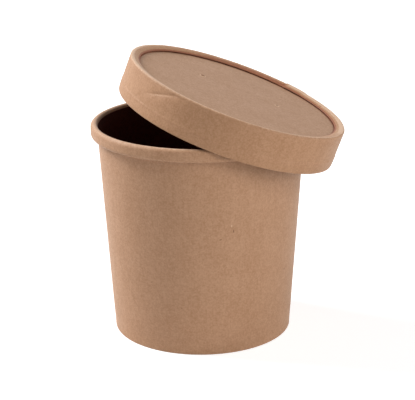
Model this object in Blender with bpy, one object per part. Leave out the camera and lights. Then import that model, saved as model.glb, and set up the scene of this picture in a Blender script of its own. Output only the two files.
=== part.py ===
"""Paper soup container: a rolled-rim cup with its lid resting ajar on the rim.

Every piece is a sheet of board turned round an upright axis. A path of (radius, height) points runs
along the middle of the board, is given the board's thickness, and is spun once round. Metres, +Z up;
the ground is at z = 0 and the lid tilts down towards +X.
"""

import math

import bmesh
import bpy
from mathutils import Vector

# Board
BOARD = 0.00045
GAP = 0.0003
LAYER_STEP = BOARD + GAP
FACETS = 56
FOLD_STEPS = 2
WELD = 1e-7
SMOOTH_ANGLE = math.radians(35)

# Cup
CUP_HEIGHT = 0.0958
RIM_RADIUS = 0.0490
RIM_DEPTH = 0.0058
RIM_ROLL = 0.0014
RIM_TUCK = math.radians(125)
ROLL_STEPS = 6
TUCK_STEPS = 4
FOOT_RADIUS = 0.0400
FOOT_FOLD = 0.0004
HEM_HEIGHT = 0.0070
BASE_HEIGHT = 0.0088
BASE_CORNER = 0.0008

# Lid, in its own frame: z = 0 is its lower edge
LID_RADIUS = 0.05005
LID_HEIGHT = 0.0169
LID_HEM_HEIGHT = 0.0049
LID_HEM_GAP = 0.0002
LID_SHOULDER = 0.0005
BEAD_CLEARANCE = 0.00045
BEAD_STEPS = 6
BEAD_SLOPE_SHARE = 0.62
BEAD_SLOPE_POWER = 1.35
PANEL_RADIUS = 0.0456
PANEL_RECESS = 0.00185
PANEL_CORNER = 0.0004
FLANGE_DROP = 0.00165
VENT_CIRCLE = 0.0190
VENTS = {"near": (math.radians(12), 0.00026), "far": (math.radians(152), 0.0006)}
VENT_FACETS = 12
PUNCH_LENGTH = 0.0045

# How the lid lies on the cup: its lower edge on the rim at the sides, its panel on the rim at +X
LID_SHIFT = 0.01105
LID_RISE = 0.09398
LID_TILT = math.radians(20.15)


def arc(centre, radii, start, end, steps):
    """Points round an ellipse from one angle to another, both in degrees, ends included."""
    angles = [math.radians(start + (end - start) * step / steps) for step in range(steps + 1)]
    return [
        Vector((centre[0] + radii[0] * math.cos(angle), centre[1] + radii[1] * math.sin(angle)))
        for angle in angles
    ]


def sheet(path):
    """Outline of the board whose middle follows the path: one side out, the other side back."""
    points = [Vector(point) for point in path]
    runs = [(after - before).normalized() for before, after in zip(points, points[1:])]
    left, right = [], []
    for point, run_in, run_out in zip(points, runs[:1] + runs, runs + runs[-1:]):
        along = (run_in + run_out).normalized()
        across = Vector((-along.y, along.x)) * (BOARD / 2 / along.dot(run_in))
        left.append(point + across)
        right.append(point - across)
    return left + right[::-1]


def turned(name, path, material):
    """Spin a board's outline once round the Z axis; a path that starts on the axis closes there."""
    outline = sheet(path)
    bm = bmesh.new()
    loop = [bm.verts.new((radius, 0.0, height)) for radius, height in outline]
    edges = [bm.edges.new(pair) for pair in zip(loop, loop[1:])]
    if path[0][0] > 0:
        edges.append(bm.edges.new((loop[-1], loop[0])))
    bmesh.ops.spin(
        bm,
        geom=loop + edges,
        cent=(0, 0, 0),
        axis=(0, 0, 1),
        angle=2 * math.pi,
        steps=FACETS,
        use_merge=True,
    )
    bmesh.ops.remove_doubles(bm, verts=bm.verts[:], dist=WELD)
    bmesh.ops.recalc_face_normals(bm, faces=bm.faces[:])
    mesh = bpy.data.meshes.new(name)
    bm.to_mesh(mesh)
    bm.free()
    mesh.shade_smooth()
    mesh.set_sharp_from_angle(angle=SMOOTH_ANGLE)
    mesh.materials.append(material)
    piece = bpy.data.objects.new(name, mesh)
    bpy.context.collection.objects.link(piece)
    return piece


def board_finish(name, colour, roughness):
    """Principled material for one side of the board; the colour is linear."""
    material = bpy.data.materials.new(name)
    material.use_nodes = True
    shader = material.node_tree.nodes["Principled BSDF"]
    shader.inputs["Base Color"].default_value = (*colour, 1.0)
    shader.inputs["Roughness"].default_value = roughness
    shader.inputs["Metallic"].default_value = 0.0
    return material


def wall_radius(height):
    """Radius of the middle of the cup's conical wall, from its foot to where the rim starts to roll."""
    foot = FOOT_RADIUS - BOARD / 2
    top = RIM_RADIUS - BOARD / 2 - 2 * RIM_ROLL
    top_height = CUP_HEIGHT - BOARD / 2 - RIM_ROLL
    return foot + (top - foot) * height / top_height


def cup_wall(material):
    """Wall with its rim rolled outwards and its lower edge folded up inside the foot."""
    fold_height = BOARD / 2 + FOOT_FOLD
    hem_radius = wall_radius(fold_height) - 2 * LAYER_STEP
    roll_centre = RIM_RADIUS - BOARD / 2 - RIM_ROLL
    roll_top = CUP_HEIGHT - BOARD / 2 - RIM_ROLL
    roll_bottom = CUP_HEIGHT - RIM_DEPTH + BOARD / 2 + RIM_ROLL
    fold = (FOOT_FOLD, FOOT_FOLD)
    roll = (RIM_ROLL, RIM_ROLL)
    path = [Vector((wall_radius(HEM_HEIGHT) - 2 * LAYER_STEP, HEM_HEIGHT))]
    path += arc((hem_radius + FOOT_FOLD, fold_height), fold, 180, 270, FOLD_STEPS)
    path += arc((wall_radius(fold_height) - FOOT_FOLD, fold_height), fold, 270, 360, FOLD_STEPS)
    path += arc((roll_centre, roll_top), roll, 180, 0, ROLL_STEPS)
    path += arc((roll_centre, roll_bottom), roll, 0, -math.degrees(RIM_TUCK), TUCK_STEPS)
    return turned("cup_wall", path, material)


def cup_base(material):
    """Raised floor whose edge is turned down between the wall and its folded hem."""
    flange_radius = wall_radius(BASE_HEIGHT - BASE_CORNER) - LAYER_STEP
    flange_end = LAYER_STEP
    path = [Vector((0.0, BASE_HEIGHT))]
    corner = (BASE_CORNER, BASE_CORNER)
    path += arc((flange_radius - BASE_CORNER, BASE_HEIGHT - BASE_CORNER), corner, 90, 0, FOLD_STEPS)
    path.append(Vector((wall_radius(flange_end) - LAYER_STEP, flange_end)))
    return turned("cup_base", path, material)


def lid_band_path():
    """Lid's skirt from its inner hem, round the lower edge, up, and over into the rounded bead.

    From its crest the bead slopes down inwards, ever more steeply, and ends upright over the panel.
    """
    skirt_radius = LID_RADIUS - BOARD / 2
    fold = (BOARD + LID_HEM_GAP) / 2
    shoulder_radius = skirt_radius - LID_SHOULDER
    bead_top = LID_HEIGHT - BOARD / 2
    bead_end = LID_HEIGHT - PANEL_RECESS + BEAD_CLEARANCE
    bead_run = shoulder_radius - (PANEL_RADIUS + BOARD / 2)
    shoulder = (LID_SHOULDER, LID_SHOULDER)
    path = [Vector((skirt_radius - 2 * fold, LID_HEM_HEIGHT))]
    path += arc((skirt_radius - fold, BOARD / 2 + fold), (fold, fold), 180, 360, 2 * FOLD_STEPS)
    path += arc((shoulder_radius, bead_top - LID_SHOULDER), shoulder, 0, 90, FOLD_STEPS)
    for step in range(1, BEAD_STEPS + 1):
        inward = math.sin(math.pi / 2 * step / BEAD_STEPS)
        sloping = BEAD_SLOPE_SHARE * inward**BEAD_SLOPE_POWER
        rounding = (1 - BEAD_SLOPE_SHARE) * (1 - math.sqrt(max(1 - inward**2, 0)))
        drop = (bead_top - bead_end) * (sloping + rounding)
        path.append(Vector((shoulder_radius - bead_run * inward, bead_top - drop)))
    return path


def lid_disc(material):
    """Recessed panel whose edge is turned up inside the bead, pierced by two small vents."""
    flange_radius = LID_RADIUS - BOARD / 2 - LAYER_STEP
    panel_height = LID_HEIGHT - PANEL_RECESS - BOARD / 2
    flange_end = LID_HEIGHT - FLANGE_DROP
    path = [Vector((0.0, panel_height))]
    corner = (PANEL_CORNER, PANEL_CORNER)
    path += arc((flange_radius - PANEL_CORNER, panel_height + PANEL_CORNER), corner, -90, 0, FOLD_STEPS)
    path.append(Vector((flange_radius, flange_end)))
    disc = turned("lid_disc", path, material)
    for place, (bearing, radius) in VENTS.items():
        bpy.ops.mesh.primitive_cylinder_add(
            vertices=VENT_FACETS,
            radius=radius,
            depth=PUNCH_LENGTH,
            location=(VENT_CIRCLE * math.cos(bearing), VENT_CIRCLE * math.sin(bearing), panel_height),
        )
        punch = bpy.context.object
        punch.name = f"vent_punch_{place}"
        punch.hide_render = True
        punch.display_type = "WIRE"
        cut = disc.modifiers.new(f"vent_{place}", "BOOLEAN")
        cut.operation = "DIFFERENCE"
        cut.solver = "EXACT"
        cut.object = punch
        punch.parent = disc
    return disc


def seat(name, location, tilt, pieces):
    """Empty that carries the pieces, placed and tilted about Y."""
    empty = bpy.data.objects.new(name, None)
    bpy.context.collection.objects.link(empty)
    empty.location = location
    empty.rotation_euler = (0.0, tilt, 0.0)
    for piece in pieces:
        piece.parent = empty
    return empty


def build():
    """Make the cup and the lid, and stand them with the middle of their outline over the origin."""
    for leftover in list(bpy.data.objects):
        bpy.data.objects.remove(leftover, do_unlink=True)
    outer_paper = board_finish("brown_paper", (0.455, 0.247, 0.135), 0.70)
    panel_paper = board_finish("lid_panel_paper", (0.384, 0.218, 0.126), 0.62)
    floor_paper = board_finish("floor_paper", (0.0600, 0.0120, 0.0060), 0.80)
    cup = [cup_wall(outer_paper), cup_base(floor_paper)]
    band_path = lid_band_path()
    lid = [turned("lid_band", band_path, outer_paper), lid_disc(panel_paper)]
    lid_seat = seat("lid_seat", (LID_SHIFT, 0.0, LID_RISE), LID_TILT, lid)
    lid_reach = LID_SHIFT + max(
        radius * math.cos(LID_TILT) + height * math.sin(LID_TILT) for radius, height in sheet(band_path)
    )
    middle = (lid_reach - RIM_RADIUS) / 2
    seat("soup_container", (-middle, 0.0, 0.0), 0.0, cup + [lid_seat])


build()
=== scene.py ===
"""Finished looks of a paper soup container: a rolled-rim cup with its lid ajar on the rim.

Every paper piece is one sheet of board. A path of (radius, height) runs along the middle of the
board, and the surface is that path turned round an axis, with the board's faces half a thickness to
either side. Two parameters, the place along the outline and the bearing round the axis, give every
point, so laps, folds and dents are added as small offsets of either.
"""

import math

import bpy
import numpy as np
from bpy.props import FloatProperty, FloatVectorProperty, IntProperty, PointerProperty
from mathutils import Euler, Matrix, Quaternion, Vector


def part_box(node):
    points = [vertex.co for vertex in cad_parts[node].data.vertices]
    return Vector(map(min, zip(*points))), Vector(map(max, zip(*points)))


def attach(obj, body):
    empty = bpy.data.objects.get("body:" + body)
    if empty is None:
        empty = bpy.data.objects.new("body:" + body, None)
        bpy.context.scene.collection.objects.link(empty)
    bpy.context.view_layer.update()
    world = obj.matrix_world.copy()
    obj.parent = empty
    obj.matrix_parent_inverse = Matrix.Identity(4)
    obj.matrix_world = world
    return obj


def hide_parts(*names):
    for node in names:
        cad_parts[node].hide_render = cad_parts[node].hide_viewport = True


bl_info = {
    "name": "Paper Soup Container",
    "version": (1, 0, 0),
    "blender": (4, 5, 0),
    "location": "View3D > Sidebar > Soup Container",
    "description": "Builds a brown paper soup cup with its lid ajar, and a plain studio round it",
    "category": "Object",
}

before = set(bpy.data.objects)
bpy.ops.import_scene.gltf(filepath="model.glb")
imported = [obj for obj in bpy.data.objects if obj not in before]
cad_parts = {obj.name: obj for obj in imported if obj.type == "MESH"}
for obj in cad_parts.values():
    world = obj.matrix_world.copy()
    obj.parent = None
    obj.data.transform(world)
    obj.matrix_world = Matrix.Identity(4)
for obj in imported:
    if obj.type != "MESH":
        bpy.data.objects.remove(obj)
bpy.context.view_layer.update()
CUP_LOW, CUP_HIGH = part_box("cup_wall")
LID_LOW, LID_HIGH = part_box("lid_band")
BODY = "root"
UV_NAME = "board"
SMOOTH_ANGLE = math.radians(38)


# ---------------------------------------------------------------- sizes and colours


def length(name, description, default):
    """A length in metres that a user may change."""
    return FloatProperty(
        name=name, description=description, default=default, subtype="DISTANCE", unit="LENGTH"
    )


def angle(name, description, degrees):
    """An angle that a user may change, given in degrees."""
    return FloatProperty(
        name=name, description=description, default=math.radians(degrees), subtype="ANGLE"
    )


def amount(name, description, default):
    """A plain number that a user may change."""
    return FloatProperty(name=name, description=description, default=default)


def colour(name, description, default):
    """A linear colour that a user may change."""
    return FloatVectorProperty(
        name=name, description=description, default=default, subtype="COLOR", size=3, min=0.0, max=1.0
    )


class BoardSizes(bpy.types.PropertyGroup):
    """The paperboard that every piece is made of, and how finely it is modelled."""

    thickness: length("Thickness", "Thickness of the board", 0.00045)
    layer_gap: length("Layer gap", "Space left between neighbouring layers", 0.0003)
    lap_width: length("Lap width", "Width over which the board overlaps itself at a side seam", 0.009)
    waviness: length("Waviness", "How far the board strays from a true round", 0.00006)
    columns: IntProperty(name="Columns", description="Even divisions round each piece", default=288, min=24)


class CupSizes(bpy.types.PropertyGroup):
    """The cup, in its own frame: the axis is z and the ground is z = 0."""

    axis_x: length("Axis", "Where the cup's axis stands", (CUP_LOW.x + CUP_HIGH.x) / 2)
    height: length("Height", "Height to the top of the rim", CUP_HIGH.z)
    rim_radius: length("Rim radius", "Outer radius of the rolled rim", (CUP_HIGH.y - CUP_LOW.y) / 2)
    rim_depth: length("Rim depth", "Height of the rolled rim", 0.0058)
    rim_roll: length("Rim roll", "Radius of the roll, to the middle of the board", 0.0014)
    rim_tuck: angle("Rim tuck", "How far the roll turns in below", 125)
    foot_radius: length("Foot radius", "Outer radius at the ground", 0.0400)
    foot_fold: length("Foot fold", "Radius of the fold at the ground", 0.0004)
    hem_height: length("Hem height", "Height of the edge folded up inside the foot", 0.0070)
    base_height: length("Floor height", "Height of the middle of the floor's board", 0.0088)
    base_corner: length("Floor corner", "Radius where the floor turns down", 0.0008)
    seam_bearing: angle("Seam", "Bearing of the side seam's outer edge", 118)
    # The painted shade inside the cup stops this far below the rim's crest.
    shade_coat_stop: length("Lining stop", "Distance below the rim's crest where the dark lining ends", 0.0012)


class LidSizes(bpy.types.PropertyGroup):
    """The lid, in its own frame: the axis is z and its lower edge is z = 0."""

    radius: length("Radius", "Outer radius of the skirt", (LID_HIGH.y - LID_LOW.y) / 2)
    height: length("Height", "Height from the lower edge to the bead's crest", 0.0169)
    hem_height: length("Hem height", "Height of the edge folded up inside the skirt", 0.0049)
    hem_gap: length("Hem gap", "Space between the skirt and its hem", 0.0002)
    shoulder: length("Shoulder", "Radius where the skirt turns into the bead", 0.0005)
    bead_clearance: length("Bead clearance", "Height of the bead's end above the panel", 0.00045)
    panel_radius: length("Panel radius", "Radius of the recessed panel", 0.0456)
    panel_recess: length("Panel recess", "Depth of the panel below the bead's crest", 0.00185)
    panel_corner: length("Panel corner", "Radius where the panel's edge turns up", 0.0004)
    flange_drop: length("Flange drop", "Depth of the panel's raised edge below the crest", 0.00165)
    tilt: angle("Tilt", "How far the lid leans down towards +X", 20.15)
    seam_bearing: angle("Seam", "Bearing of the band's lap", 63)
    crease_depth: length("Crease depth", "Depth of the dent across the skirt", 0.00042)
    vent_circle: length("Vent circle", "Distance of the vents from the lid's middle", 0.0190)


class PaperColours(bpy.types.PropertyGroup):
    """Linear colours of the paper's finishes, and of its painted shade and painted highlights."""

    paper: colour("Paper", "Unbleached brown paper", (0.455, 0.247, 0.135))
    # Pale is the colour of real fibres and scuffed edges, and also painted highlight on the crests of the
    # rim and bead, the bead's slope past the lap and one flank of the crease.
    pale: colour("Pale fibre", "Lighter fibres and worn edges", (0.680, 0.460, 0.310))
    # Dark is the colour of real flecks and specks, and also painted shade round the vents.
    dark: colour("Dark fleck", "Dark flecks and fibres", (0.200, 0.095, 0.045))
    # The seam colour is the real dark of seam lines, and painted shade in the lid's groove and on its
    # bead's inner end.
    seam: colour("Seam and groove", "Reddish brown along seams and in grooves", (0.250, 0.075, 0.028))
    core: colour("Cut edge", "Raw edge of the cut board", (0.330, 0.190, 0.105))
    # The dark inside is painted shade: a dark reddish coat standing for the deep shadow in the cup.
    inner_shade: colour("Lining", "Dark lining inside the cup", (0.0850, 0.0170, 0.0080))


class StageSettings(bpy.types.PropertyGroup):
    """Camera and studio light."""

    distance: length("Distance", "From the camera to the point it looks at", 0.6662)
    elevation: angle("Elevation", "Height of the camera above the level", 17.90)
    heading: angle("Heading", "Turn of the camera round the cup", 3.43)
    roll: angle("Roll", "Turn of the camera about its own line of sight", -0.452)
    lens: amount("Lens", "Focal length in millimetres, for a 36 mm sensor", 127.9)
    aim_side: length("Aim aside", "How far right of the cup's axis the camera aims", 0.00266)
    aim_height: length("Aim height", "Height the camera aims at", 0.0585)
    light: amount("Light", "Factor on all the lamps", 1.0)


# ---------------------------------------------------------------- surfaces


def arc(centre, radii, start, end, steps):
    """Arc of an ellipse: the centre plus each radius times the cosine or sine of the bearing."""
    turn = np.radians(np.linspace(start, end, steps + 1))
    return np.column_stack([centre[0] + radii[0] * np.cos(turn), centre[1] + radii[1] * np.sin(turn)])


def even_steps(path, spacing):
    """The same path with its long runs divided, so that no step is longer than the spacing."""
    lengths = np.linalg.norm(np.diff(path, axis=0), axis=1)
    counts = np.maximum(np.ceil(lengths / spacing).astype(int), 1)
    start = np.repeat(np.arange(len(counts)), counts)
    part = (np.arange(counts.sum()) - np.repeat(np.cumsum(counts) - counts, counts)) / counts[start]
    inner = path[start] + (path[start + 1] - path[start]) * part[:, None]
    return np.vstack([inner, path[-1:]])


def soft_step(value, low, high):
    """Rises from 0 to 1 between low and high: three times the square less twice the cube."""
    part = np.clip((value - low) / (high - low), 0.0, 1.0)
    return part * part * (3.0 - 2.0 * part)


def hump(value, centre, width):
    """Bell curve of height 1: e to minus the square of the distance in widths."""
    return np.exp(-(((value - centre) / width) ** 2))


def wrapped(bearing):
    """The same bearing between minus half a turn and half a turn."""
    return (bearing + math.pi) % (2 * math.pi) - math.pi


def bearings(start, even, close_spots):
    """Bearings of the columns: an even round from start, with close ones added about some spots."""
    fine = [start + np.linspace(0.0, 2 * math.pi, even, endpoint=False)]
    for centre, reach, count in close_spots:
        fine.append(start + (centre - start + np.linspace(-reach, reach, count)) % (2 * math.pi))
    merged = np.unique(np.round(np.concatenate(fine), 7))
    return merged[np.append(np.diff(merged) > 1e-5, start + 2 * math.pi - merged[-1] > 1e-5)]


def ripple(seed, bearing, along, round_waves, long_waves):
    """Slow unevenness: a sum of cosines of whole turns and of waves along, each weaker than the last."""
    rng = np.random.default_rng(seed)
    total = np.zeros(np.broadcast(bearing, along).shape)
    for wave in range(2, round_waves + 2):
        phase, drift, tilt = rng.uniform(0, 2 * math.pi, 3)
        across = np.cos(wave * bearing + phase)
        lengthways = np.cos(long_waves * along * wave / round_waves + drift + 0.3 * math.sin(tilt))
        total += across * lengthways / wave
    return total


def lap(distance, width, blend):
    """An overlap's outer face: nothing beyond its cut edge at 0, a full layer behind it, easing off."""
    return soft_step(distance, -width - blend, -width) * (1.0 - soft_step(distance, -0.00008, 0.00008))


class Board:
    """A sheet of board turned round the z axis.

    The place of a point is the path's own point plus a distance along the path's normal: half the
    thickness to one side or the other, plus what an offset function adds there. That gives a radius
    and a height, and the radius times the cosine and sine of the bearing gives x and y.
    """

    def __init__(self, path, thickness, bearing):
        runs = np.diff(path, axis=0)
        lengths = np.linalg.norm(runs, axis=1)
        runs = runs / lengths[:, None]
        before, after = np.vstack([runs[:1], runs]), np.vstack([runs, runs[-1:]])
        along = before + after
        along /= np.linalg.norm(along, axis=1)[:, None]
        reach = 1.0 / np.einsum("ij,ij->i", along, before)
        distance = np.append(0.0, np.cumsum(lengths))
        back = slice(None, None, -1)
        self.thickness = thickness
        self.bearing = bearing[None, :]
        self.point = np.vstack([path, path[back]])
        self.normal = np.vstack([np.column_stack([-along[:, 1], along[:, 0]])] * 2)
        self.normal[len(path) :] = self.normal[: len(path)][back]
        self.reach = np.concatenate([reach, reach[back]])[:, None]
        self.side = np.repeat([1.0, -1.0], len(path))[:, None]
        self.distance = np.concatenate([distance, distance[back]])[:, None]
        self.length = distance[-1]
        self.on_axis = path[0, 0] < 1e-9

    @property
    def radius(self):
        return self.point[:, :1]

    @property
    def height(self):
        return self.point[:, 1:]

    def places(self, offset, thickening=0.0, swell=0.0):
        """Places as x, y and z, with an offset along the normal, a thickening and a swell outwards."""
        half = self.thickness / 2 * self.reach + thickening
        move = self.side * half + offset
        radius = self.radius + self.normal[:, :1] * move + swell
        height = self.height + self.normal[:, 1:] * move
        radius, height, bearing = np.broadcast_arrays(radius, height, self.bearing)
        return np.stack([radius * np.cos(bearing), radius * np.sin(bearing), height], axis=-1)


def corner_numbers(rows, columns, on_axis):
    """Vertex numbers of a grid whose columns wrap, and whose rows wrap or end in two poles."""
    if on_axis:
        inner = 1 + np.arange((rows - 2) * columns).reshape(rows - 2, columns)
        low, high = np.zeros((1, columns), int), np.full((1, columns), 1 + (rows - 2) * columns)
        numbers = np.vstack([low, inner, high])
    else:
        numbers = np.arange(rows * columns).reshape(rows, columns)
        numbers = np.vstack([numbers, numbers[:1]])
    return np.hstack([numbers, numbers[:, :1]])


def grid_faces(rows, columns, on_axis):
    """Corners of every face as places in the grid: four each, or three beside a pole."""
    row, column = np.meshgrid(np.arange(rows), np.arange(columns), indexing="ij")
    row, column = row.ravel(), column.ravel()
    corner_rows = np.stack([row, row + 1, row + 1, row], 1)
    corner_columns = np.stack([column, column, column + 1, column + 1], 1)
    corners = np.stack([corner_rows, corner_columns], -1)
    keep = np.ones((rows * columns, 4), bool)
    if on_axis:
        keep[row == 0, 3] = False
        keep[row == rows - 1, 2] = False
    return corners[keep], keep.sum(1)


def signed_volume(mesh):
    """Volume inside the surface, which is positive where the faces look outwards."""
    mesh.calc_loop_triangles()
    points = np.empty(3 * len(mesh.vertices), np.float32)
    mesh.vertices.foreach_get("co", points)
    corners = np.empty(3 * len(mesh.loop_triangles), np.int32)
    mesh.loop_triangles.foreach_get("vertices", corners)
    triangles = points.reshape(-1, 3).astype(float)[corners.reshape(-1, 3)]
    return np.einsum("ij,ij->", triangles[:, 0], np.cross(triangles[:, 1], triangles[:, 2])) / 6


def add_mesh(name, places, board, masks):
    """Mesh of a board's surface, with a map of metres round and along it and a value for each mask."""
    rows, columns = places.shape[:2]
    numbers = corner_numbers(rows, columns, board.on_axis)
    corners, counts = grid_faces(numbers.shape[0] - 1, columns, board.on_axis)
    vertex = numbers[corners[:, 0], corners[:, 1]]
    if board.on_axis:
        inner = slice(1, -1)
        points = np.vstack([places[0, :1], places[inner].reshape(-1, 3), places[-1, :1]])
    else:
        points = places.reshape(-1, 3)
    mesh = bpy.data.meshes.new(name)
    mesh.vertices.add(len(points))
    mesh.vertices.foreach_set("co", points.astype(np.float32).ravel())
    mesh.loops.add(len(vertex))
    mesh.loops.foreach_set("vertex_index", vertex.astype(np.int32))
    mesh.polygons.add(len(counts))
    mesh.polygons.foreach_set("loop_start", (np.cumsum(counts) - counts).astype(np.int32))
    mesh.update(calc_edges=True)
    turn = np.append(board.bearing[0], board.bearing[0, 0] + 2 * math.pi)
    rounds = (turn - turn[0]) * np.abs(board.radius).max()
    along = np.append(board.distance[:, 0], board.distance[0, 0])
    board_map = np.column_stack([rounds[corners[:, 1]], along[corners[:, 0]]])
    mesh.uv_layers.new(name=UV_NAME).data.foreach_set("uv", board_map.astype(np.float32).ravel())
    for mask, values in masks.items():
        values = np.broadcast_to(values, (rows, columns))
        if board.on_axis:
            values = np.concatenate([values[0, :1], values[1:-1].ravel(), values[-1, :1]])
        attribute = mesh.attributes.new(mask, "FLOAT", "POINT")
        attribute.data.foreach_set("value", values.astype(np.float32).ravel())
    if mesh.validate():
        raise RuntimeError(f"{name}: the surface has broken faces")
    if signed_volume(mesh) <= 0.0:
        raise RuntimeError(f"{name}: the surface faces inwards")
    mesh.shade_smooth()
    mesh.set_sharp_from_angle(angle=SMOOTH_ANGLE)
    return mesh


def add_piece(name, mesh, material, slot, *nodes):
    """Object at the origin that rides on the container's body and stands for its CAD nodes."""
    piece = bpy.data.objects.new(name, mesh)
    bpy.context.scene.collection.objects.link(piece)
    mesh.materials.append(material)
    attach(piece, BODY)
    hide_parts(*nodes)
    return piece


def cup_place(places, cup):
    """Moves places from the cup's own frame to the container's."""
    return places + np.array([cup.axis_x, 0.0, 0.0])


def lid_place(places, lid, board):
    """Turns places from the lid's own frame by its tilt about y, and sets them on the rim.

    The lid's outline touches the frame's box at its highest and furthest points, which gives where
    the lid's own origin lies.
    """
    slope, lean = math.cos(lid.tilt), math.sin(lid.tilt)
    band = lid_band_path(lid, board)
    sheet = Board(band, board.thickness, np.zeros(1))
    outline = sheet.places(0.0)[:, 0]
    shift = LID_HIGH.x - (outline[:, 0] * slope + outline[:, 2] * lean).max()
    rise = LID_HIGH.z - (outline[:, 0] * lean + outline[:, 2] * slope).max()
    turn = np.array([[slope, 0.0, lean], [0.0, 1.0, 0.0], [-lean, 0.0, slope]])
    return places @ turn.T + np.array([shift, 0.0, rise])


# ---------------------------------------------------------------- paths


def wall_radius(height, cup, board):
    """Radius of the middle of the conical wall: it widens evenly from the foot to the roll."""
    foot = cup.foot_radius - board.thickness / 2
    top = cup.rim_radius - board.thickness / 2 - 2 * cup.rim_roll
    return foot + (top - foot) * height / (cup.height - board.thickness / 2 - cup.rim_roll)


def cup_wall_path(cup, board):
    """Hem up inside the foot, the fold at the ground, the wall, and the roll outwards at the rim."""
    half = board.thickness / 2
    layer = board.thickness + board.layer_gap
    fold_height = half + cup.foot_fold
    fold = (cup.foot_fold, cup.foot_fold)
    roll = (cup.rim_roll, cup.rim_roll)
    roll_centre = cup.rim_radius - half - cup.rim_roll
    wall_foot = wall_radius(fold_height, cup, board)
    roll_low = cup.height - cup.rim_depth + half + cup.rim_roll
    path = [
        np.array([[wall_radius(cup.hem_height, cup, board) - 2 * layer, cup.hem_height]]),
        arc((wall_foot - 2 * layer + cup.foot_fold, fold_height), fold, 180, 270, 5),
        arc((wall_foot - cup.foot_fold, fold_height), fold, 270, 360, 5),
        arc((roll_centre, cup.height - half - cup.rim_roll), roll, 180, 0, 18),
        arc((roll_centre, roll_low), roll, 0, -math.degrees(cup.rim_tuck), 13),
    ]
    return np.vstack(path)


def cup_base_path(cup, board):
    """Floor from its middle out, and its edge turned down between the wall and the hem."""
    layer = board.thickness + board.layer_gap
    corner = cup.base_height - cup.base_corner
    flange = wall_radius(corner, cup, board) - layer
    turn = arc((flange - cup.base_corner, corner), (cup.base_corner, cup.base_corner), 90, 0, 6)
    end = np.array([[wall_radius(layer, cup, board) - layer, layer]])
    return np.vstack([[[0.0, cup.base_height]], turn, end])


def lid_band_path(lid, board):
    """Hem up inside the skirt, its fold, the skirt, and the bead turned in over the panel's edge.

    From its crest the bead falls as 0.62 of the 1.35th power of the way in and 0.38 of a quarter
    circle, so that it slopes at first and ends upright.
    """
    half = board.thickness / 2
    skirt = lid.radius - half
    fold = (board.thickness + lid.hem_gap) / 2
    shoulder = skirt - lid.shoulder
    bead_top = lid.height - half
    bead_end = lid.height - lid.panel_recess + lid.bead_clearance
    bead_run = shoulder - (lid.panel_radius + half)
    inward = np.sin(np.radians(np.linspace(0.0, 90.0, 19)[1:]))
    drop = 0.62 * inward**1.35 + 0.38 * (1.0 - np.sqrt(1.0 - inward**2))
    bead = [shoulder - bead_run * inward, bead_top - (bead_top - bead_end) * drop]
    path = [
        np.array([[skirt - 2 * fold, lid.hem_height]]),
        arc((skirt - fold, half + fold), (fold, fold), 180, 360, 10),
        arc((shoulder, bead_top - lid.shoulder), (lid.shoulder, lid.shoulder), 0, 90, 6),
        np.column_stack(bead),
    ]
    return np.vstack(path)


def lid_disc_path(lid, board):
    """Panel from its middle out, and its edge turned up inside the bead."""
    flange = lid.radius - 1.5 * board.thickness - board.layer_gap
    level = lid.height - lid.panel_recess - board.thickness / 2
    corner = (lid.panel_corner, lid.panel_corner)
    turn = arc((flange - lid.panel_corner, level + lid.panel_corner), corner, -90, 0, 6)
    end = np.array([[flange, lid.height - lid.flange_drop]])
    return np.vstack([[[0.0, level]], turn, end])


# ---------------------------------------------------------------- materials


def add_node(tree, kind, settings=None, **inputs):
    """Node with some settings, and with each named input given a value or linked to an output."""
    node = tree.nodes.new(kind)
    for key, value in (settings or {}).items():
        setattr(node, key, value)
    for key, value in inputs.items():
        socket = node.inputs[int(key[1:])] if key[0] == "i" and key[1:].isdigit() else node.inputs[key]
        if isinstance(value, bpy.types.NodeSocket):
            tree.links.new(value, socket)
        else:
            socket.default_value = value
    return node


def compute(tree, operation, first, second=0.0):
    """Result of one sum on two values."""
    return add_node(tree, "ShaderNodeMath", {"operation": operation}, i0=first, i1=second).outputs[0]


def weighted(tree, *terms):
    """Sum of some values, each times its weight."""
    parts = [compute(tree, "MULTIPLY", value, weight) for value, weight in terms]
    total = parts[0]
    for part in parts[1:]:
        total = compute(tree, "ADD", total, part)
    return total


def vector_sum(tree, operation, **inputs):
    """Outputs of one sum on vectors."""
    return add_node(tree, "ShaderNodeVectorMath", {"operation": operation}, **inputs).outputs


def ramp(tree, value, low, high, bottom=0.0, top=1.0):
    """Value carried from one range to another, held at its ends, with soft ends."""
    settings = {"interpolation_type": "SMOOTHSTEP"}
    inputs = {"Value": value, "From Min": low, "From Max": high, "To Min": bottom, "To Max": top}
    return add_node(tree, "ShaderNodeMapRange", settings, **inputs).outputs["Result"]


def opaque(linear):
    """Colour with its fourth value."""
    return (*linear, 1.0)


def mixed(tree, factor, first, second):
    """Colour between two colours."""
    settings = {"data_type": "RGBA"}
    return add_node(tree, "ShaderNodeMix", settings, i0=factor, i6=first, i7=second).outputs[2]


def noise(tree, place, scale, detail=3.0, roughness=0.55, distortion=0.0):
    """Noise between 0 and 1 at a number of swells per metre."""
    inputs = {"Vector": place, "Scale": scale, "Detail": detail}
    inputs.update({"Roughness": roughness, "Distortion": distortion})
    return add_node(tree, "ShaderNodeTexNoise", **inputs).outputs["Fac"]


def new_group(name, inputs, outputs):
    """Node group with named inputs and outputs; returns the tree and its two end nodes."""
    tree = bpy.data.node_groups.new(name, "ShaderNodeTree")
    for label, kind in inputs.items():
        tree.interface.new_socket(name=label, in_out="INPUT", socket_type=kind)
    for label in outputs:
        tree.interface.new_socket(name=label, in_out="OUTPUT", socket_type="NodeSocketFloat")
    return tree, tree.nodes.new("NodeGroupInput"), tree.nodes.new("NodeGroupOutput")


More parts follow.
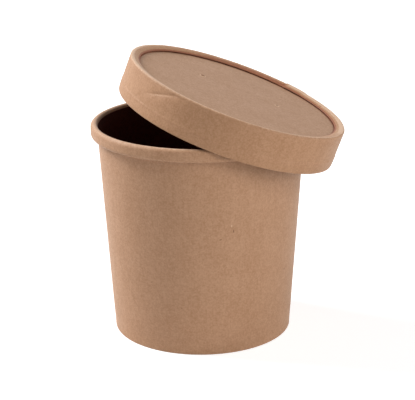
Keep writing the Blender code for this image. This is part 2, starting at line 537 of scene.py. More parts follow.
def paper_grain_group():
    """Grain of unbleached paper: cloudy pulp, pale fibres, dark flecks and the relief they make."""
    inputs = {"Place": "NodeSocketVector", "Fineness": "NodeSocketFloat"}
    tree, start, end = new_group("Paper grain", inputs, ["Cloud", "Fibre", "Fleck", "Relief"])
    scaled = vector_sum(tree, "SCALE", i0=start.outputs["Place"], Scale=start.outputs["Fineness"])
    place = scaled["Vector"]
    slow = noise(tree, place, 95.0, detail=3.0, roughness=0.5)
    middle = noise(tree, place, 520.0, detail=4.0, roughness=0.6)
    fine = noise(tree, place, 1300.0, detail=2.0, roughness=0.6)
    cloud = weighted(tree, (slow, 0.16), (middle, 0.30), (fine, 0.54))
    worm = noise(tree, place, 640.0, detail=2.0, roughness=0.45, distortion=1.6)
    thread = compute(tree, "ABSOLUTE", compute(tree, "SUBTRACT", worm, 0.5))
    thread = ramp(tree, thread, 0.0, 0.022, 1.0, 0.0)
    patch = ramp(tree, noise(tree, place, 330.0, detail=1.0), 0.50, 0.66)
    fibre = compute(tree, "MULTIPLY", thread, patch)
    bent = add_node(tree, "ShaderNodeTexNoise", Vector=place, Scale=700.0, Detail=1.0)
    bend = vector_sum(tree, "SCALE", i0=bent.outputs["Color"], Scale=0.0016)
    moved = vector_sum(tree, "ADD", i0=place, i1=bend["Vector"])
    cells = add_node(tree, "ShaderNodeTexVoronoi", Vector=moved["Vector"], Scale=230.0)
    picked = add_node(tree, "ShaderNodeSeparateColor", Color=cells.outputs["Color"])
    chosen = compute(tree, "GREATER_THAN", picked.outputs[0], 0.955)
    size = ramp(tree, picked.outputs[1], 0.0, 1.0, 0.03, 0.10)
    spot = compute(tree, "LESS_THAN", cells.outputs["Distance"], size)
    fleck = compute(tree, "MULTIPLY", chosen, spot)
    relief = weighted(tree, (fine, 0.5), (middle, 0.5), (fibre, 0.25))
    for label, value in {"Cloud": cloud, "Fibre": fibre, "Fleck": fleck, "Relief": relief}.items():
        tree.links.new(value, end.inputs[label])
    return tree


def machine_streak_group():
    """Faint streaks of the paper machine: noise drawn out along the board's length."""
    inputs = {"Board": "NodeSocketVector"}
    tree, start, end = new_group("Machine streaks", inputs, ["Streak"])
    stretched = vector_sum(tree, "MULTIPLY", i0=start.outputs["Board"], i1=(1.0, 0.09, 1.0))["Vector"]
    broad = noise(tree, stretched, 420.0, detail=2.0)
    narrow = noise(tree, stretched, 1500.0, detail=2.0)
    streak = compute(tree, "MULTIPLY", compute(tree, "ADD", broad, narrow), 0.5)
    tree.links.new(streak, end.inputs["Streak"])
    return tree


def broken_mask_group():
    """A soft mask broken up by noise, as handling scuffs an edge; it also breaks up the edges of the
    painted shade and painted highlights.
    """
    inputs = {"Mask": "NodeSocketFloat", "Place": "NodeSocketVector", "Scale": "NodeSocketFloat"}
    tree, start, end = new_group("Broken mask", inputs, ["Mask"])
    patchy = noise(tree, start.outputs["Place"], start.outputs["Scale"], detail=4.0, roughness=0.65)
    spread = compute(tree, "MULTIPLY", compute(tree, "SUBTRACT", patchy, 0.5), 1.1)
    shown = compute(tree, "ADD", start.outputs["Mask"], spread)
    shown = ramp(tree, shown, 0.25, 0.85)
    present = compute(tree, "MULTIPLY", shown, ramp(tree, start.outputs["Mask"], 0.0, 0.12))
    tree.links.new(present, end.inputs["Mask"])
    return tree


def spot_group():
    """A small mark: 1 within an ellipsoid about a spot, with a soft edge."""
    inputs = {"Place": "NodeSocketVector", "Spot": "NodeSocketVector", "Size": "NodeSocketVector"}
    tree, start, end = new_group("Spot", inputs, ["Mask"])
    away = vector_sum(tree, "SUBTRACT", i0=start.outputs["Place"], i1=start.outputs["Spot"])["Vector"]
    scaled = vector_sum(tree, "DIVIDE", i0=away, i1=start.outputs["Size"])["Vector"]
    reach = vector_sum(tree, "LENGTH", i0=scaled)["Value"]
    tree.links.new(ramp(tree, reach, 0.7, 1.1, 1.0, 0.0), end.inputs["Mask"])
    return tree


def group(name, make):
    """Node group of that name, made once."""
    return bpy.data.node_groups.get(name) or make()


def use_group(tree, name, make, **inputs):
    """Node that uses a group."""
    node = add_node(tree, "ShaderNodeGroup", {"node_tree": group(name, make)})
    for key, value in inputs.items():
        if isinstance(value, bpy.types.NodeSocket):
            tree.links.new(value, node.inputs[key])
        else:
            node.inputs[key].default_value = value
    return node


def mask_value(tree, name):
    """One of the surface's own masks."""
    settings = {"attribute_type": "GEOMETRY", "attribute_name": name}
    return add_node(tree, "ShaderNodeAttribute", settings).outputs["Fac"]


def scaled_colour(linear, factor):
    """A colour made lighter or darker."""
    return opaque(min(value * factor, 1.0) for value in linear)


PAPER_ROUGHNESS = 0.65
TONE_SPREAD = (0.120, 0.156, 0.216)
FIBRE_STRENGTH = 0.22
FLECK_STRENGTH = 0.42
SPOT_STRENGTH = 0.8


def paper_material(name, colours, tint=(1.0, 1.0, 1.0), sheen=0.12, masks=(), spots=()):
    """Unbleached paperboard: its grain, then the masked scuffs, cut edges, seams, painted highlights and
    painted shade, then marks.
    """
    material = bpy.data.materials.new(name)
    material.use_nodes = True
    tree = material.node_tree
    shader = tree.nodes["Principled BSDF"]
    place = add_node(tree, "ShaderNodeTexCoord").outputs["Object"]
    board = add_node(tree, "ShaderNodeUVMap", {"uv_map": UV_NAME}).outputs["UV"]
    grain = use_group(tree, "Paper grain", paper_grain_group, Place=place, Fineness=1.0).outputs
    streak = use_group(tree, "Machine streaks", machine_streak_group, Board=board).outputs["Streak"]
    paper = [value * part for value, part in zip(colours.paper, tint)]
    tone = ramp(tree, weighted(tree, (grain["Cloud"], 0.8), (streak, 0.2)), 0.36, 0.64)
    low = [value * (1 - part) for value, part in zip(paper, TONE_SPREAD)]
    high = [value * (1 + part) for value, part in zip(paper, TONE_SPREAD)]
    shown = mixed(tree, tone, opaque(low), opaque(high))
    fibre = compute(tree, "MULTIPLY", grain["Fibre"], FIBRE_STRENGTH)
    shown = mixed(tree, fibre, shown, opaque(colours.pale))
    fleck = compute(tree, "MULTIPLY", grain["Fleck"], FLECK_STRENGTH)
    shown = mixed(tree, fleck, shown, opaque(colours.dark))
    marks = {
        # Real scuffing, and painted highlight on crests and lit slopes.
        "wear_and_highlight": (colours.pale, 0.85),
        "cut_edge": (colours.core, 0.9),
        # Real seam lines, and painted shade in grooves and on the bead's inner end.
        "seam_and_groove_shade": (colours.seam, 0.9),
        # Painted shade round the vents.
        "vent_shade": (colours.dark, 1.0),
        # Painted shade inside the cup.
        "inner_shade": (colours.inner_shade, 1.0),
    }
    for mask in masks:
        mark, strength = marks[mask]
        inputs = {"Mask": mask_value(tree, mask), "Place": place, "Scale": 900.0}
        broken = use_group(tree, "Broken mask", broken_mask_group, **inputs).outputs["Mask"]
        shown = mixed(tree, compute(tree, "MULTIPLY", broken, strength), shown, opaque(mark))
    for spot, size, is_dark in spots:
        mark = colours.dark if is_dark else colours.pale
        near = use_group(tree, "Spot", spot_group, Place=place, Spot=spot, Size=size).outputs["Mask"]
        shown = mixed(tree, compute(tree, "MULTIPLY", near, SPOT_STRENGTH), shown, opaque(mark))
    tree.links.new(shown, shader.inputs["Base Color"])
    rough = ramp(tree, grain["Cloud"], 0.3, 0.7, PAPER_ROUGHNESS + 0.06, PAPER_ROUGHNESS - 0.06)
    tree.links.new(rough, shader.inputs["Roughness"])
    shader.inputs["Sheen Weight"].default_value = sheen
    shader.inputs["Sheen Roughness"].default_value = 0.35
    relief = compute(tree, "ADD", grain["Relief"], compute(tree, "MULTIPLY", streak, 0.35))
    bump = add_node(tree, "ShaderNodeBump", Height=relief, Strength=0.5, Distance=0.00005)
    tree.links.new(bump.outputs["Normal"], shader.inputs["Normal"])
    return material


def shade_coat_material(name, colours):
    """Painted shade inside the cup: a dark coat, standing for the deep shadow there, over the paper's own
    relief.
    """
    material = bpy.data.materials.new(name)
    material.use_nodes = True
    tree = material.node_tree
    shader = tree.nodes["Principled BSDF"]
    place = add_node(tree, "ShaderNodeTexCoord").outputs["Object"]
    grain = use_group(tree, "Paper grain", paper_grain_group, Place=place, Fineness=0.8).outputs
    tone = ramp(tree, grain["Cloud"], 0.34, 0.66)
    shown = mixed(tree, tone, scaled_colour(colours.inner_shade, 0.8), scaled_colour(colours.inner_shade, 1.25))
    tree.links.new(shown, shader.inputs["Base Color"])
    tree.links.new(ramp(tree, grain["Cloud"], 0.3, 0.7, 0.86, 0.74), shader.inputs["Roughness"])
    shader.inputs["Specular IOR Level"].default_value = 0.12
    bump = add_node(tree, "ShaderNodeBump", Height=grain["Relief"], Strength=0.5, Distance=0.00004)
    tree.links.new(bump.outputs["Normal"], shader.inputs["Normal"])
    return material


def give_shade_coat(mesh, material, threshold=0.5):
    """Gives the painted shade's own material to the faces whose corners all carry most of the painted
    shade's mask.
    """
    mesh.materials.append(material)
    values = np.empty(len(mesh.vertices), np.float32)
    mesh.attributes["inner_shade"].data.foreach_get("value", values)
    vertex = np.empty(len(mesh.loops), np.int32)
    mesh.loops.foreach_get("vertex_index", vertex)
    first = np.empty(len(mesh.polygons), np.int32)
    mesh.polygons.foreach_get("loop_start", first)
    lined = np.minimum.reduceat(values[vertex], first) > threshold
    mesh.polygons.foreach_set("material_index", lined.astype(np.int32))


# ---------------------------------------------------------------- pieces

LAP_EDGE = 0.0004
LAP_BLEND = 0.004


def with_cut_ends(path, inset=0.00005):
    """The same path with a point just inside each end, so that the raw edge can be told apart."""
    starting, ending = path[1] - path[0], path[-2] - path[-1]
    first = path[0] + starting * min(inset / np.linalg.norm(starting), 0.4)
    last = path[-1] + ending * min(inset / np.linalg.norm(ending), 0.4)
    return np.vstack([path[:1], [first], path[1:-1], [last], path[-1:]])


def raw_edge(sheet, ends):
    """1 at the board's cut ends and 0 elsewhere; ends says which of the two, start and finish, show."""
    start, finish = ends
    at_start = (sheet.distance < 1e-6) & bool(start)
    at_finish = (sheet.distance > sheet.length - 1e-6) & bool(finish)
    return (at_start | at_finish).astype(float)


class SOUP_OT_cup_wall(bpy.types.Operator):
    """Make the cup's wall, with its rolled rim, folded foot and side seam"""

    bl_idname = "soup.cup_wall"
    bl_label = "Cup wall"

    MARKS = (
        (-68.5, 0.0579, 0.00030, 0.00075, True),
        (-69.6, 0.0604, 0.00022, 0.00060, False),
        (-75.8, 0.0545, 0.00060, 0.00022, True),
        (-27.0, 0.0330, 0.00030, 0.00045, True),
    )  # bearing in degrees, height, half width, half height, and whether dark or pale

    def mark(self, cup, board, turn, height, wide, tall, is_dark):
        """Place and size of a small mark on the outside of the wall."""
        radius = wall_radius(height, cup, board) + board.thickness / 2
        bearing = math.radians(turn)
        spot = (cup.axis_x + radius * math.cos(bearing), radius * math.sin(bearing), height)
        return spot, (wide, max(wide, 0.0005), tall), is_dark

    def execute(self, context):
        """Height h and bearing b give the radius: the wall's own cone, a slow ripple in b and h, and
        half the board out or in, plus one more layer where the side seam overlaps."""
        scene = context.scene
        board, cup, colours = scene.soup_board, scene.soup_cup, scene.soup_colours
        path = with_cut_ends(even_steps(cup_wall_path(cup, board), 0.0014))
        seam_step = board.lap_width / cup.foot_radius
        reach = LAP_EDGE / cup.foot_radius
        spots = [(cup.seam_bearing, reach, 7), (cup.seam_bearing - seam_step, reach, 7)]
        round_all = bearings(cup.seam_bearing - math.pi, board.columns, spots)
        sheet = Board(path, board.thickness, round_all)
        height, bearing = sheet.height, sheet.bearing
        along_seam = wrapped(bearing - cup.seam_bearing) * cup.foot_radius
        rim_low = cup.height - cup.rim_depth
        hem_end = cup.hem_height
        is_hem = sheet.distance < hem_end
        is_roll = sheet.distance > sheet.length - math.pi * 2.2 * cup.rim_roll - cup.rim_depth / 2
        outer = (1 - soft_step(height, rim_low - 0.003, rim_low - 0.0005)) * ~is_roll * ~is_hem
        outer = outer * np.abs(sheet.normal[:, :1]) ** 4 * soft_step(height, 0.0, 0.0015)
        inner = soft_step(height, cup.base_height + 0.001, cup.base_height + 0.004) * ~is_hem
        inner = inner * np.where(is_roll, 0.55, 1.0)
        under = is_hem * soft_step(height, 0.001, 0.0025) * 0.8
        outer_lap = lap(along_seam, board.lap_width, LAP_BLEND)
        inner_lap = lap(-along_seam - board.lap_width, board.lap_width, LAP_BLEND)
        inner, outer_layer = inner * inner_lap, (outer + under) * outer_lap
        thickening = board.thickness * np.where(sheet.side > 0, inner, outer_layer)
        tall = height / cup.height
        swell = board.waviness * ripple(11, bearing, tall * 2.5, 5, 1.0)
        pressed = -0.00005 * (1 - soft_step(height, cup.hem_height - 0.0004, cup.hem_height + 0.0004))
        pressed = pressed * ~is_hem * ~is_roll * soft_step(height, 0.001, 0.003)
        knurl = 0.00008 * np.cos(150 * bearing) * is_hem * hump(height, 0.0042, 0.0022)
        uneven = 0.00004 * is_roll * ripple(5, bearing, sheet.distance / cup.rim_depth, 14, 0.8)
        offset = pressed + knurl + uneven
        places = sheet.places(-offset * np.where(is_roll, -1, 1), thickening, swell)
        # Painted shade over the inside of the wall, up to just below the rim's crest.
        on_wall_inside = (sheet.side > 0) & ~is_hem & (sheet.distance < sheet.length / 2 + cup.height / 2)
        stop = cup.height - cup.shade_coat_stop
        inner_shade = on_wall_inside * (1 - soft_step(height, stop - 0.0005, stop))
        inner_shade = inner_shade * soft_step(height, 0.0, 0.002)
        # Painted highlight, with some scuffing, along the top of the rim.
        crest = hump(height, cup.height, 0.0007) * (sheet.side > 0)
        foot = hump(height, 0.0, 0.0009) * (sheet.side < 0) * (sheet.distance > hem_end)
        masks = {
            "inner_shade": inner_shade,
            "wear_and_highlight": 0.7 * crest + 0.5 * foot,
            "cut_edge": raw_edge(sheet, (True, True)),
            "seam_and_groove_shade": hump(along_seam, 0.0, 0.00016) * (sheet.side < 0) * (outer > 0.3),
        }
        mesh = add_mesh("cup_wall_board", cup_place(places, cup), sheet, masks)
        marked = ("wear_and_highlight", "cut_edge", "seam_and_groove_shade", "inner_shade")
        spots = [self.mark(cup, board, *mark) for mark in self.MARKS]
        paper = paper_material("brown_paper_cup", colours, masks=marked, spots=spots)
        piece = add_piece("cup_wall_board", mesh, paper, "brown_paper", "cup_wall")
        give_shade_coat(piece.data, shade_coat_material("wall_shade_coat", colours))
        return {"FINISHED"}


class SOUP_OT_cup_base(bpy.types.Operator):
    """Make the cup's raised floor, with its edge turned down inside the foot"""

    bl_idname = "soup.cup_base"
    bl_label = "Cup floor"

    def execute(self, context):
        """Radius r and bearing b give the height: the floor's level, raised by a dome that falls with
        the square of r, and half the board up or down."""
        scene = context.scene
        board, cup, colours = scene.soup_board, scene.soup_cup, scene.soup_colours
        path = with_cut_ends(even_steps(cup_base_path(cup, board), 0.0012))[1:]
        path[0] = (0.0, cup.base_height)
        sheet = Board(path, board.thickness, bearings(0.0, board.columns, []))
        flat = 1 - soft_step(sheet.distance, 0.030, 0.038)
        dome = 0.0004 * flat * (1 - (sheet.radius / cup.foot_radius) ** 2)
        uneven = 0.00003 * ripple(21, sheet.bearing, sheet.distance / cup.foot_radius, 6, 2.0)
        fade = soft_step(sheet.distance, 0.0, 0.01) * flat
        places = sheet.places(dome + uneven * fade)
        masks = {
            # Painted shade over the whole upper face of the floor.
            "inner_shade": np.where(sheet.side > 0, 1.0, 0.0),
            "cut_edge": raw_edge(sheet, (False, True)),
        }
        mesh = add_mesh("cup_floor_board", cup_place(places, cup), sheet, masks)
        paper = paper_material("brown_paper_floor", colours, masks=("cut_edge",))
        piece = add_piece("cup_floor_board", mesh, paper, "dark_lining", "cup_base")
        give_shade_coat(piece.data, shade_coat_material("floor_shade_coat", colours))
        return {"FINISHED"}


class SOUP_OT_lid_band(bpy.types.Operator):
    """Make the lid's band: its skirt, folded hem, rounded bead, lap and the crease across it"""

    bl_idname = "soup.lid_band"
    bl_label = "Lid band"

    BEAD_LENGTH = 0.0051
    CREASE_TOP = (-116.0, 0.0170)  # bearing in degrees, height
    CREASE_END = (-141.0, 0.0092)

    def execute(self, context):
        """Distance along the outline and bearing b give the place: the band's own outline turned
        round the lid's axis, pushed out over the hem and the lap, and in along the crease."""
        scene = context.scene
        board, lid, colours = scene.soup_board, scene.soup_lid, scene.soup_colours
        path = with_cut_ends(even_steps(lid_band_path(lid, board), 0.00032))
        seam_step = board.lap_width / lid.radius
        reach = LAP_EDGE / lid.radius
        crease_top, crease_end = math.radians(self.CREASE_TOP[0]), math.radians(self.CREASE_END[0])
        middle, spread = (crease_top + crease_end) / 2, math.radians(15.0)
        spots = [(lid.seam_bearing, reach, 7), (lid.seam_bearing - seam_step, reach, 7)]
        spots.append((middle, spread, 70))
        round_all = bearings(lid.seam_bearing - math.pi, board.columns, spots)
        sheet = Board(path, board.thickness, round_all)
        height, bearing, distance = sheet.height, sheet.bearing, sheet.distance
        hem_length = lid.hem_height + 0.0003
        is_hem = distance < hem_length
        bead_start = sheet.length - self.BEAD_LENGTH
        is_bead = distance > bead_start
        is_skirt = ~is_hem & ~is_bead
        along_seam = wrapped(bearing - lid.seam_bearing) * lid.radius
        right_of_seam = soft_step(-along_seam, 0.0, 0.002) * (1 - soft_step(-along_seam, 0.055, 0.085))
        outer_lap = lap(along_seam, board.lap_width, LAP_BLEND)
        inner_lap = lap(-along_seam - board.lap_width, board.lap_width, LAP_BLEND)
        outer = is_skirt * soft_step(height, 0.0006, 0.002) + 0.7 * is_bead
        inner = is_skirt * soft_step(height, lid.hem_height + 0.0005, lid.hem_height + 0.002)
        inner = inner * (1 - soft_step(height, 0.0120, 0.0135))
        thickening = board.thickness * np.where(sheet.side > 0, inner * inner_lap, outer * outer_lap)
        swell = board.waviness * ripple(31, bearing, height / lid.height, 4, 0.8)
        hem_top = lid.hem_height
        over_hem = 0.00012 * (1 - soft_step(height, hem_top - 0.0003, hem_top + 0.0005))
        ridge = (over_hem + 0.00009 * hump(height, hem_top, 0.00045)) * is_skirt
        ridge = ridge * soft_step(height, 0.0006, 0.0020)
        start = np.array([0.0, self.CREASE_TOP[1]])
        finish = np.array([(crease_end - crease_top) * lid.radius, self.CREASE_END[1]])
        run = finish - start
        span = np.linalg.norm(run)
        side_way, up_way = wrapped(bearing - crease_top) * lid.radius, height - start[1]
        part = (side_way * run[0] + up_way * run[1]) / span**2
        across = (side_way * run[1] - up_way * run[0]) / span
        shown = soft_step(part, -0.12, 0.0) * (1 - soft_step(part, 0.60, 1.05)) * is_skirt
        crease = -lid.crease_depth * shown * np.exp(-np.abs(across) / 0.0007)
        shelf = 0.00010 * shown * soft_step(-across, -0.0002, 0.0030)
        shelf = shelf * (1 - soft_step(-across, 0.003, 0.008))
        bumpy = 0.000035 * ripple(41, bearing, distance / 0.005, 26, 1.3) * is_bead
        inner_bead = soft_step(distance, sheet.length - 0.0034, sheet.length - 0.0016)
        # At the lap the bead is notched, and painted shade darkens the notch.
        at_lap = np.minimum(1.5 * hump(along_seam, 0.0014, 0.0020), 1.0) * inner_bead
        notch = -0.00030 * at_lap * is_bead
        # Painted shade on the bead's inner face for a stretch past the lap.
        behind_lap = soft_step(along_seam, 0.0, 0.0015) * (1 - soft_step(along_seam, 0.02, 0.09))
        behind_lap = behind_lap * inner_bead
        offset = np.where(is_hem, 0.0, -(ridge + crease + shelf + bumpy + notch))
        places = sheet.places(offset, thickening, swell)
        outside = sheet.side < 0
        # Painted highlight, with some scuffing, along the bead's crest, strongest towards bearing -170
        # degrees.
        worn_and_lit = 0.5 + 0.5 * hump(wrapped(bearing - math.radians(-170.0)), 0.0, math.radians(55.0))
        crest = worn_and_lit * hump(distance, bead_start + 0.0015, 0.0009) * outside
        # Painted highlight over the bead's slope for a stretch past the lap.
        slope = soft_step(distance, bead_start + 0.0008, bead_start + 0.0013)
        slope = right_of_seam * slope
        slope = slope * (1 - soft_step(distance, sheet.length - 0.0024, sheet.length - 0.0010))
        # Painted shade on the bead's inner end, over the groove.
        nose = soft_step(distance, sheet.length - 0.0011, sheet.length - 0.0003)
        lower = hump(height, 0.0, 0.0006) * outside
        # Painted highlight along one flank of the crease.
        creased = shown * hump(across, -0.0004, 0.0003) * outside
        # The real seam line, joined with the painted shade at the notch, on the bead's end and past the
        # lap.
        seam_and_groove_shade = hump(along_seam, 0.0, 0.00016) * (outer > 0.3)
        seam_and_shade = np.maximum(np.maximum(seam_and_groove_shade, at_lap), np.maximum(nose, 0.75 * behind_lap))
        masks = {
            "wear_and_highlight": np.maximum(crest + 0.35 * lower + 0.5 * creased, slope * outside),
            "cut_edge": raw_edge(sheet, (True, True)),
            "seam_and_groove_shade": seam_and_shade * outside,
        }
        mesh = add_mesh("lid_band_board", lid_place(places, lid, board), sheet, masks)
        marked = ("wear_and_highlight", "cut_edge", "seam_and_groove_shade")
        paper = paper_material("brown_paper_lid", colours, tint=(0.955, 0.925, 0.87), masks=marked)
        add_piece("lid_band_board", mesh, paper, "brown_paper", "lid_band")
        return {"FINISHED"}


class SOUP_OT_lid_disc(bpy.types.Operator):
    """Make the lid's recessed panel, pierced by two small vents with torn lips"""

    bl_idname = "soup.lid_disc"
    bl_label = "Lid panel"

    VENTS = (
        ("left", 152.0, 0.00060, 0.00022),
        ("right", 12.0, 0.00026, 0.00014),
    )  # name, bearing in degrees, radius of the hole, height of its lip
    NEAR_VENT = 0.0026

    def execute(self, context):
        """Radius r and bearing b give the height: the panel's level, a slow ripple that fades at the
        middle and the edge, and a bell-shaped lip round each vent; a punch then opens the vents."""
        scene = context.scene
        board, lid, colours = scene.soup_board, scene.soup_lid, scene.soup_colours
        path = even_steps(lid_disc_path(lid, board), 0.0010)
        close = np.linspace(lid.vent_circle - self.NEAR_VENT, lid.vent_circle + self.NEAR_VENT, 27)
        inside = path[path[:, 0] < close[0] - 0.0004]
        outside = path[path[:, 0] > close[-1] + 0.0004]
        fine = np.column_stack([close, np.full(len(close), path[0, 1])])
        path = with_cut_ends(np.vstack([inside, fine, outside]))[1:]
        path[0] = (0.0, path[1, 1])
        reach = self.NEAR_VENT / lid.vent_circle
        spots = [(math.radians(turn), reach, 27) for _, turn, _, _ in self.VENTS]
        sheet = Board(path, board.thickness, bearings(0.0, board.columns, spots))
        radius, bearing = sheet.radius, sheet.bearing
        flat = soft_step(radius, 0.0, 0.012) * (1 - soft_step(radius, 0.040, 0.046))
        offset = 0.00007 * flat * ripple(51, bearing, radius / lid.panel_radius, 4, 2.2)
        vent_shade, wear_and_highlight = 0.0, 0.0
        for _, turn, hole, lip in self.VENTS:
            centre = lid.vent_circle * np.exp(1j * math.radians(turn))
            away = np.abs(radius * np.exp(1j * bearing) - centre)
            offset = offset + lip * hump(away, hole + 0.0003, 0.0004)
            # Painted shade round each vent's hole; the pale ring beyond is scuffing on its torn lip.
            vent_shade = np.maximum(vent_shade, np.minimum(2.0 * hump(away, hole * 0.8, 0.00040), 1.0))
            wear_and_highlight = np.maximum(wear_and_highlight, 0.8 * hump(away, hole + 0.0007, 0.0003))
        places = lid_place(sheet.places(offset), lid, board)
        upper = sheet.side > 0
        # Painted shade in the groove round the panel's edge, under the bead.
        groove = soft_step(radius, lid.panel_radius - 0.0012, lid.panel_radius + 0.0001)
        masks = {
            "cut_edge": raw_edge(sheet, (False, True)),
            "seam_and_groove_shade": groove * upper,
            "vent_shade": vent_shade,
            "wear_and_highlight": wear_and_highlight * upper,
        }
        mesh = add_mesh("lid_panel_board", places, sheet, masks)
        tint = (0.845, 0.881, 0.933)
        marked = ("wear_and_highlight", "cut_edge", "seam_and_groove_shade", "vent_shade")
        paper = paper_material("lid_panel_paper", colours, tint=tint, sheen=0.02, masks=marked)
        piece = add_piece("lid_panel_board", mesh, paper, "lid_panel_paper", "lid_disc")
        self.pierce(piece, lid, board)
        return {"FINISHED"}

    def pierce(self, piece, lid, board):
        """Cuts each vent through the panel with a round punch that leans with the lid."""
        level = lid.height - lid.panel_recess - board.thickness / 2
        punches = []
        for label, turn, hole, _ in self.VENTS:
            way = math.radians(turn)
            spot = np.array([lid.vent_circle * math.cos(way), lid.vent_circle * math.sin(way), level])
            centre = lid_place(spot[None, None], lid, board)[0, 0]
            bpy.ops.mesh.primitive_cylinder_add(
                vertices=24, radius=hole, depth=0.004, location=centre, rotation=(0.0, lid.tilt, 0.0)
            )
            punch = bpy.context.object
            cut = piece.modifiers.new(f"vent_{label}", "BOOLEAN")
            cut.operation, cut.solver, cut.object = "DIFFERENCE", "EXACT", punch
            punches.append(punch)
        whole = piece.data
        graph = bpy.context.evaluated_depsgraph_get()
        pierced = bpy.data.meshes.new_from_object(
            piece.evaluated_get(graph), preserve_all_data_layers=True, depsgraph=graph
        )
        piece.modifiers.clear()
        piece.data = pierced
        pierced.name = "lid_panel_pierced"
        bpy.data.meshes.remove(whole)
        for punch in punches:
            bpy.data.objects.remove(punch, do_unlink=True)
        if len(pierced.vertices) == 0:
            raise RuntimeError("the vents took the whole panel away")


# ---------------------------------------------------------------- stage

LAMPS = {
    # name: (bearing, elevation, distance, width, height, watts); angles in degrees
    "left_key": (-110.0, 40.0, 1.3, 0.5, 0.5, 18.2),
    "right_low": (65.0, 12.0, 1.3, 0.5, 0.5, 5.3),
    "right_high": (40.0, 40.0, 1.3, 0.5, 0.5, 4.0),
}


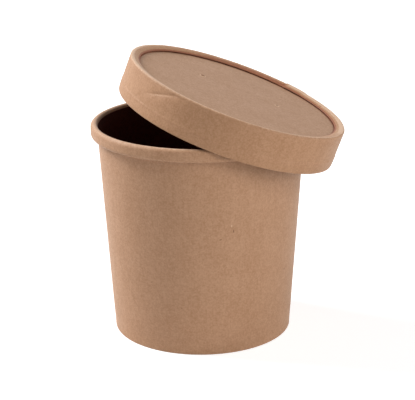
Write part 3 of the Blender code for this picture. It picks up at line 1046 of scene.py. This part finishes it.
class SOUP_OT_stage(bpy.types.Operator):
    """Make the floor, the white surroundings, the lamps and the camera"""

    bl_idname = "soup.stage"
    bl_label = "Studio"

    def execute(self, context):
        """Makes the floor, surroundings and camera, and the lamps, which face the cup's middle."""
        stage, cup = context.scene.soup_stage, context.scene.soup_cup
        middle = Vector((cup.axis_x, 0.0, cup.height / 2))
        self.floor(context)
        self.surroundings(context)
        for name, place in LAMPS.items():
            self.lamp(context, name, middle, stage, *place)
        self.camera(context, stage, cup)
        context.scene.view_settings.view_transform = "Standard"
        return {"FINISHED"}

    def floor(self, context):
        """Wide pale sheet under the cup; it keeps the soft shadow and fades to the white beyond."""
        size = 30.0
        corners = [(-size, -size, 0.0), (size, -size, 0.0), (size, size, 0.0), (-size, size, 0.0)]
        mesh = bpy.data.meshes.new("floor_sheet")
        mesh.from_pydata(corners, [], [(0, 1, 2, 3)])
        floor = bpy.data.objects.new("floor_sheet", mesh)
        context.scene.collection.objects.link(floor)
        material = bpy.data.materials.new("floor_white")
        material.use_nodes = True
        tree = material.node_tree
        tree.nodes.remove(tree.nodes["Principled BSDF"])
        diffuse = add_node(tree, "ShaderNodeBsdfDiffuse", Color=(0.80, 0.80, 0.80, 1.0))
        path = add_node(tree, "ShaderNodeLightPath").outputs
        seen = compute(tree, "MAXIMUM", path["Is Camera Ray"], path["Is Glossy Ray"])
        place = add_node(tree, "ShaderNodeTexCoord").outputs["Object"]
        away = vector_sum(tree, "LENGTH", i0=place)["Value"]
        level = ramp(tree, away, 0.5, 2.5, 0.63, 0.84)
        glow = add_node(tree, "ShaderNodeEmission", Strength=compute(tree, "MULTIPLY", seen, level))
        both = add_node(tree, "ShaderNodeAddShader", i0=diffuse.outputs[0], i1=glow.outputs[0])
        tree.links.new(both.outputs[0], tree.nodes["Material Output"].inputs["Surface"])
        mesh.materials.append(material)

    def surroundings(self, context):
        """White all round as seen, in gloss and through glass, and a plain grey light on the object."""
        world = bpy.data.worlds.new("studio_white")
        context.scene.world = world
        world.use_nodes = True
        tree = world.node_tree
        path = add_node(tree, "ShaderNodeLightPath").outputs
        seen = compute(tree, "MAXIMUM", path["Is Camera Ray"], path["Is Glossy Ray"])
        seen = compute(tree, "MAXIMUM", seen, path["Is Transmission Ray"])
        strength = ramp(tree, seen, 0.0, 1.0, 0.2, 1.0)
        background = tree.nodes["Background"]
        background.inputs["Color"].default_value = (1.0, 1.0, 1.0, 1.0)
        tree.links.new(strength, background.inputs["Strength"])

    def lamp(self, context, name, middle, stage, bearing, elevation, distance, width, height, watts):
        """Soft box that faces the cup; its bearing is counted from the camera's, to the right."""
        turn = math.radians(bearing) + stage.heading
        rise = math.radians(elevation)
        way = Vector((math.sin(turn) * math.cos(rise), -math.cos(turn) * math.cos(rise), math.sin(rise)))
        data = bpy.data.lights.new(name, "AREA")
        data.shape = "RECTANGLE"
        data.size, data.size_y = width, height
        data.energy = watts * stage.light
        lamp = bpy.data.objects.new(name, data)
        context.scene.collection.objects.link(lamp)
        lamp.location = middle + way * distance
        lamp.rotation_mode = "QUATERNION"
        lamp.rotation_quaternion = (-way).to_track_quat("-Z", "Y")
        lamp.visible_camera = False

    def camera(self, context, stage, cup):
        """Long lens looking down at the cup from its front."""
        data = bpy.data.cameras.new("camera")
        data.lens, data.sensor_width = stage.lens, 36.0
        data.clip_start, data.clip_end = 0.01, 100.0
        camera = bpy.data.objects.new("camera", data)
        context.scene.collection.objects.link(camera)
        context.scene.camera = camera
        turn = Euler((0.0, 0.0, stage.heading)).to_matrix()
        low, high = math.cos(stage.elevation), math.sin(stage.elevation)
        aim = Vector((cup.axis_x, 0.0, 0.0)) + turn @ Vector((stage.aim_side, 0.0, stage.aim_height))
        camera.location = aim + turn @ Vector((0.0, -low, high)) * stage.distance
        look = Euler((math.pi / 2 - stage.elevation, 0.0, stage.heading)).to_quaternion()
        camera.rotation_mode = "QUATERNION"
        camera.rotation_quaternion = look @ Quaternion((0.0, 0.0, 1.0), stage.roll)


# ---------------------------------------------------------------- panel and registration

STEPS = (SOUP_OT_stage, SOUP_OT_cup_wall, SOUP_OT_cup_base, SOUP_OT_lid_band, SOUP_OT_lid_disc)
SETTINGS = {
    "soup_board": BoardSizes,
    "soup_cup": CupSizes,
    "soup_lid": LidSizes,
    "soup_colours": PaperColours,
    "soup_stage": StageSettings,
}


class SOUP_PT_container(bpy.types.Panel):
    """Lists the settings and the steps that build the container"""

    bl_idname = "SOUP_PT_container"
    bl_label = "Paper Soup Container"
    bl_space_type = "VIEW_3D"
    bl_region_type = "UI"
    bl_category = "Soup Container"

    def draw(self, context):
        for setting, group_class in SETTINGS.items():
            box = self.layout.box()
            box.label(text=group_class.__doc__.split(".")[0])
            for name in group_class.__annotations__:
                box.prop(getattr(context.scene, setting), name)
        for step in STEPS:
            self.layout.operator(step.bl_idname)


CLASSES = (*SETTINGS.values(), *STEPS, SOUP_PT_container)


def register():
    for each in CLASSES:
        bpy.utils.register_class(each)
    for setting, group_class in SETTINGS.items():
        setattr(bpy.types.Scene, setting, PointerProperty(type=group_class))


def unregister():
    for setting in SETTINGS:
        delattr(bpy.types.Scene, setting)
    for each in reversed(CLASSES):
        bpy.utils.unregister_class(each)


def main():
    """Registers the add-on and builds every piece in order."""
    register()
    for step in STEPS:
        if run_step(step) != {"FINISHED"}:
            raise RuntimeError(f"{step.bl_label} was not finished")


def run_step(step):
    """Calls one operator by its name."""
    family, name = step.bl_idname.split(".")
    return getattr(getattr(bpy.ops, family), name)()


if __name__ == "__main__":
    main()
